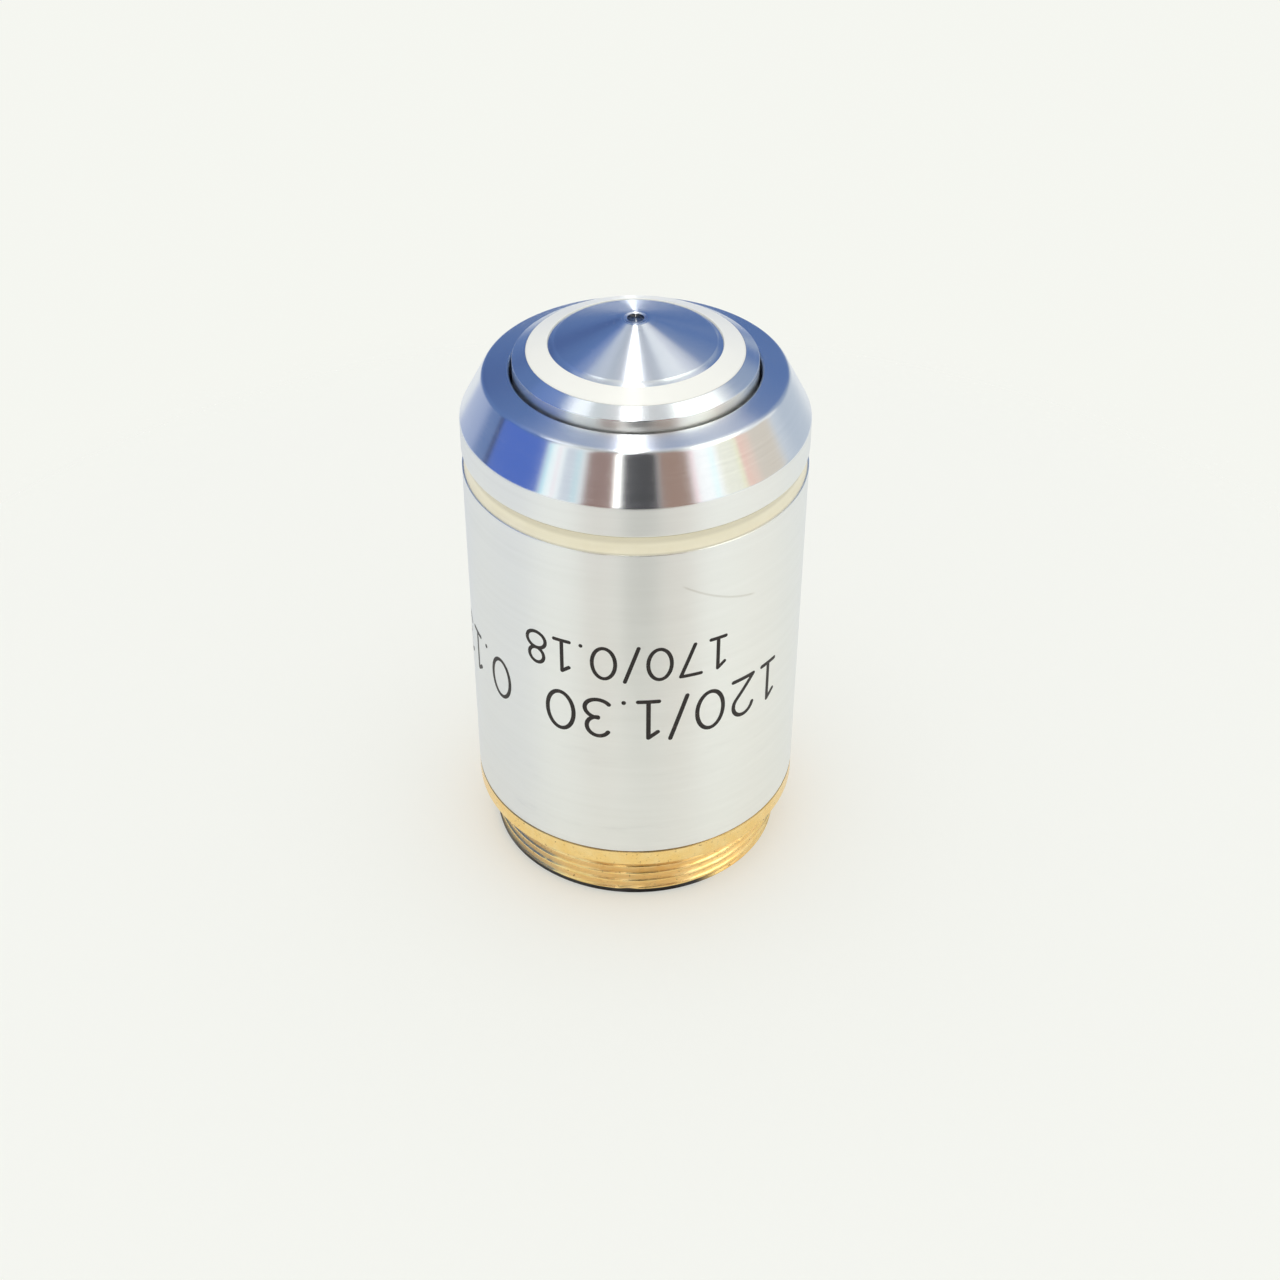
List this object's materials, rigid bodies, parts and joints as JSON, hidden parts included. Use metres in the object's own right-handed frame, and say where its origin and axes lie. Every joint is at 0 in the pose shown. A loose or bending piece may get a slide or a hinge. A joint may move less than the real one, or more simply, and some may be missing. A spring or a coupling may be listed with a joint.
{
  "type": "microscope objective",
  "caption": "Short high-power microscope objective: threaded brass mount, satin sleeve, bevelled cap and a spring-loaded conical nose with a white code ring.",
  "frame": {"origin": "centre of the mounting shoulder, the face that seats on the microscope's nosepiece", "axes": "+Z along the optical axis towards the specimen, +Y towards the side of the guide screw"},
  "size_m": [0.0226, 0.0226, 0.0401],
  "materials": {
    "mount_brass": "turned and lacquered brass, worn bright on the thread crests",
    "satin_chrome": "satin chromed brass, filled with dark digits",
    "polished_chrome": "polished chrome with fine lathe lines",
    "seam_enamel": "pale yellow enamel",
    "white_enamel": "white enamel",
    "inner_black": "matt black anodised",
    "inner_brass": "turned brass, unlacquered",
    "black_brass": "chemically blackened brass",
    "spring_steel": "drawn spring wire",
    "screw_steel": "turned steel",
    "crown_glass": "polished and coated",
    "flint_glass": "polished and coated"
  },
  "bodies": {
    "shell": {"mount_body": "mount_brass", "sleeve": "satin_chrome", "seam_ring": "seam_enamel", "front_cap": "polished_chrome", "spring_washer": "screw_steel", "spring": "spring_steel", "guide_screw": "screw_steel"},
    "nose": {"lens_barrel": "black_brass", "focus_shim": "inner_brass", "nose_cap": "polished_chrome", "code_ring": "white_enamel", "front_cell": "polished_chrome", "front_lens": "crown_glass", "meniscus_cell": "inner_brass", "meniscus_lens": "crown_glass", "middle_cell": "black_brass", "middle_crown": "crown_glass", "middle_flint": "flint_glass", "cell_spacer": "inner_black", "rear_cell": "black_brass", "rear_crown": "crown_glass", "rear_flint": "flint_glass", "aperture_stop": "inner_black", "locking_ring": "black_brass"}
  },
  "joints": [
    {"name": "nose_slide", "type": "slide", "parent": "shell", "child": "nose", "axis": [0, 0, -1], "range_m": [0, 0.002], "stiffness_N_per_m": 600, "springref_m": -0.002, "deforming": ["spring"]}
  ]
}
